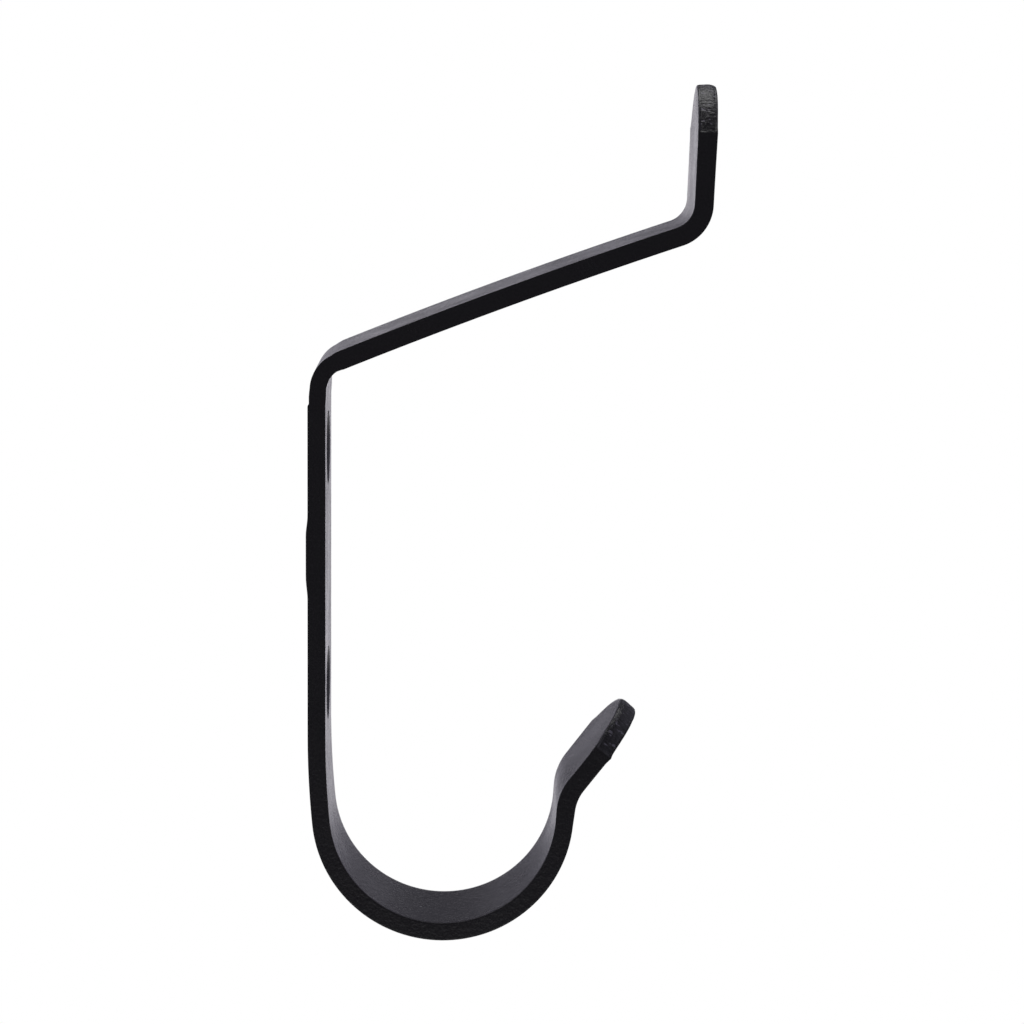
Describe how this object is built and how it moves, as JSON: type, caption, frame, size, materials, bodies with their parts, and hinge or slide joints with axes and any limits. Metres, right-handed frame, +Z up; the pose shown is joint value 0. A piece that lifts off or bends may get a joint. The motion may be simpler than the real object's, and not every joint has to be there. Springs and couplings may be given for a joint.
{
  "type": "coat hook",
  "caption": "Wall coat hook bent from one black metal strip, with a long upper prong and a deep rolled lower hook below countersunk screw holes.",
  "frame": {"origin": "midway between the two screw holes, on the wall plane that the swell on the back rests against", "axes": "+X out of the wall along the screw holes, +Y across the strip, to the right as seen from the room, +Z up the wall"},
  "size_m": [0.0607, 0.02, 0.1283],
  "materials": {
    "powder_coat": "fine matt-to-satin black powder coat on steel"
  },
  "bodies": {
    "root": {"strap": "powder_coat"}
  },
  "joints": []
}
